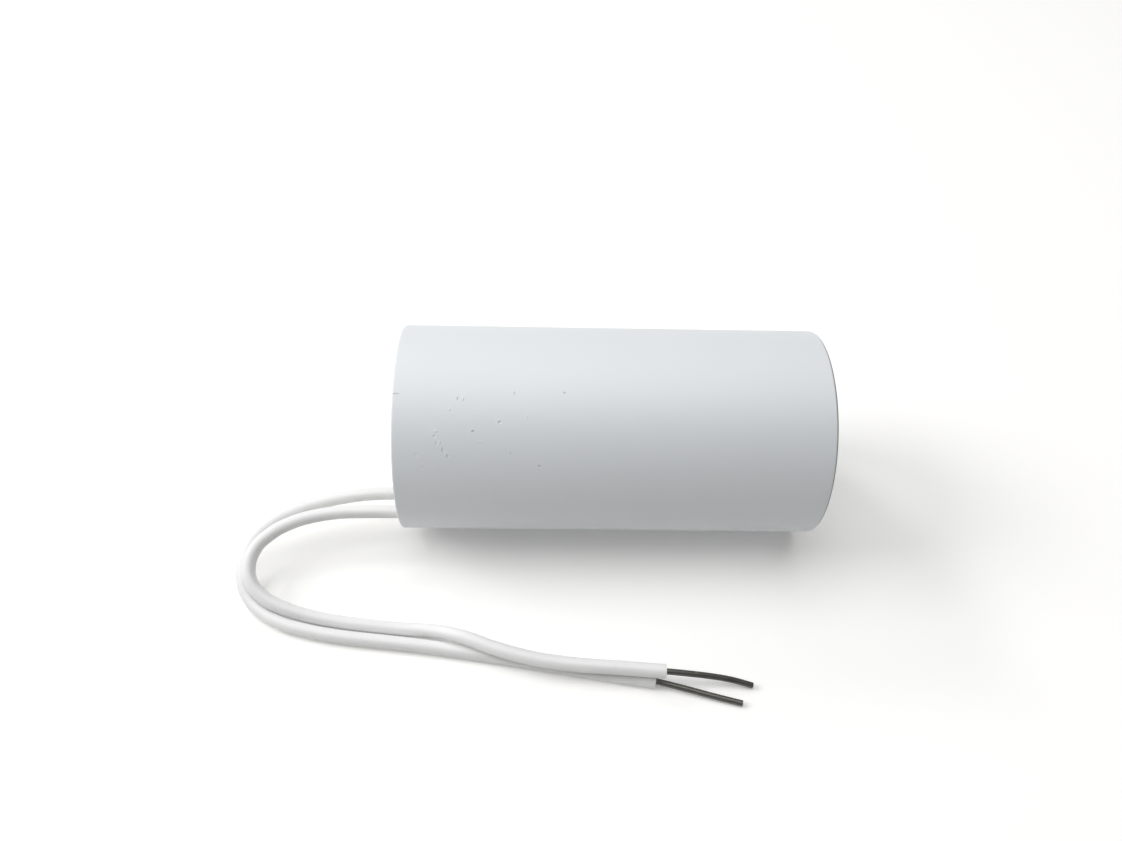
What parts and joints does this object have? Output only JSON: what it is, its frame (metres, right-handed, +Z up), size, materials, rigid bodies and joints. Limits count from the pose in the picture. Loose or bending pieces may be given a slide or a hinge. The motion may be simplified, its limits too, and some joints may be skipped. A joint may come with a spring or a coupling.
{
  "type": "motor run capacitor",
  "caption": "Moulded cylindrical motor run capacitor with a closed base, lying on its side, and stiff insulated leads with stripped ends that leave its resin-filled end.",
  "frame": {"origin": "on the surface that the part lies on, below the middle of the case's length and axis", "axes": "+X along the case's axis from the lead end to the closed base; +Z up; the leads bend round towards -Y"},
  "size_m": [0.098, 0.0605, 0.035],
  "materials": {
    "case_plastic": "moulded, satin, slightly scuffed",
    "resin": "poured, glossy, level with a hollow fillet at the wall and leads",
    "core_plastic": "extruded, satin",
    "metallised_film": "tightly wound metallised film, silvery",
    "wrap_film": "clear yellowish film, smooth",
    "sprayed_zinc": "flame-sprayed zinc, dull and grainy",
    "solder": "smooth, dull",
    "insulation": "extruded, satin",
    "conductor": "solid drawn wire, dull and darkened"
  },
  "bodies": {
    "root": {"case": "case_plastic", "potting": "resin", "core_tube": "core_plastic", "film_winding": "metallised_film", "film_wrap": "wrap_film", "end_spray_base": "sprayed_zinc", "end_spray_mouth": "sprayed_zinc", "solder_base": "solder", "solder_mouth": "solder", "front_lead_root": "insulation", "rear_lead_root": "insulation", "front_lead_wire": "conductor", "rear_lead_wire": "conductor", "front_lead": "insulation", "rear_lead": "insulation", "front_lead_tip": "conductor", "rear_lead_tip": "conductor"}
  },
  "joints": []
}
